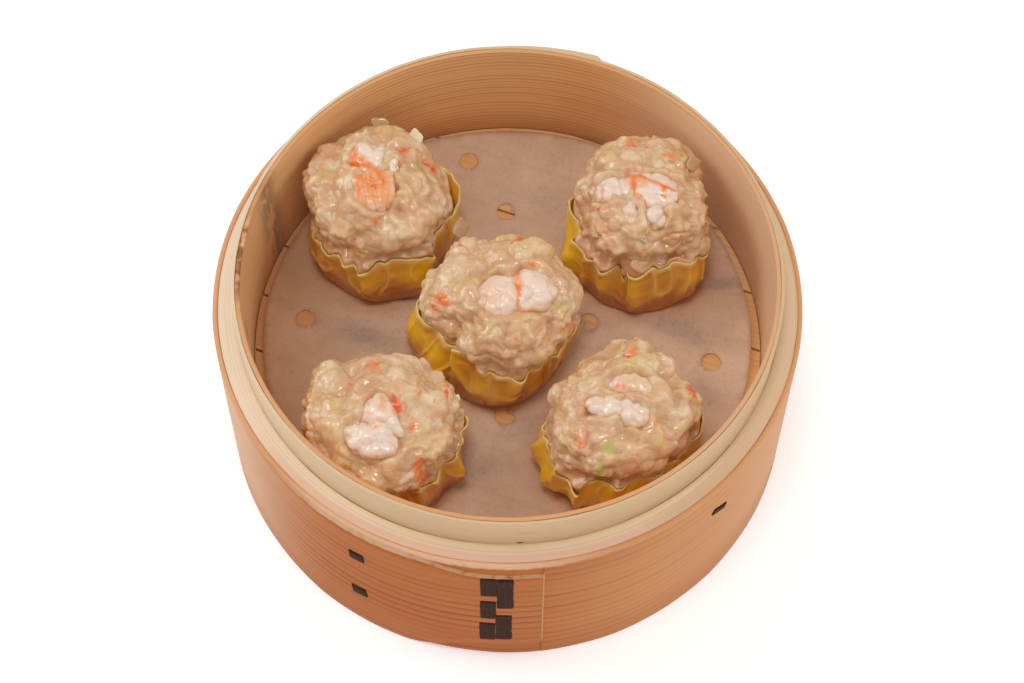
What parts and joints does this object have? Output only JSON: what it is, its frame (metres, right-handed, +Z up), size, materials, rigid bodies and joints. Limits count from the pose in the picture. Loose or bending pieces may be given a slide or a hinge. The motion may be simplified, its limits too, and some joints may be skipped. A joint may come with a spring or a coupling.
{
  "type": "siu mai dumplings in bamboo steamer basket",
  "caption": "Open round bamboo steamer basket holding siu mai: lumpy pork and prawn filling in folded yellow wrappers, on a perforated paper liner.",
  "frame": {"origin": "centre of the basket's underside", "axes": "+Z up, front (the side with the column of stitches) towards -Y"},
  "size_m": [0.1624, 0.1639, 0.0722],
  "materials": {
    "band": "planed straight-grained veneer, unvarnished, satin",
    "ledge": "split pale wood, rubbed smooth",
    "lip": "pale skin-side bamboo, smooth satin",
    "inner": "damp straight-grained veneer",
    "slat": "damp split wood, matte",
    "paper": "greaseproof paper, damp, lets the slats show through",
    "bark": "dark brown bark strip, slightly glossy",
    "wrapper": "steamed egg dough, translucent and wet",
    "filling": "steamed minced pork and prawn, lumpy and wet",
    "prawn": "cooked prawn, white to orange, wet"
  },
  "bodies": {
    "root": {"outer_band": "band", "ledge_hoop": "ledge", "lip_hoop": "lip", "inner_wall": "inner", "slat_1": "slat", "slat_2": "slat", "slat_3": "slat", "slat_4": "slat", "slat_5": "slat", "slat_6": "slat", "slat_7": "slat", "slat_8": "slat", "slat_9": "slat", "batten_1": "slat", "batten_2": "slat", "liner_paper": "paper", "stitch_front_1": "bark", "stitch_front_2": "bark", "stitch_front_3": "bark", "stitch_front_4": "bark", "stitch_front_5": "bark", "stitch_left_1": "bark", "stitch_left_2": "bark", "stitch_right_1": "bark", "siu_mai_1_wrapper": "wrapper", "siu_mai_1_filling": "filling", "siu_mai_1_prawn_1": "prawn", "siu_mai_1_prawn_2": "prawn", "siu_mai_1_prawn_3": "prawn", "siu_mai_2_wrapper": "wrapper", "siu_mai_2_filling": "filling", "siu_mai_2_prawn_1": "prawn", "siu_mai_2_prawn_2": "prawn", "siu_mai_2_prawn_3": "prawn", "siu_mai_2_prawn_4": "prawn", "siu_mai_3_wrapper": "wrapper", "siu_mai_3_filling": "filling", "siu_mai_3_prawn_1": "prawn", "siu_mai_4_wrapper": "wrapper", "siu_mai_4_filling": "filling", "siu_mai_4_prawn_1": "prawn", "siu_mai_4_prawn_2": "prawn", "siu_mai_5_wrapper": "wrapper", "siu_mai_5_filling": "filling", "siu_mai_5_prawn_1": "prawn", "siu_mai_5_prawn_2": "prawn", "siu_mai_5_prawn_3": "prawn"}
  },
  "joints": []
}
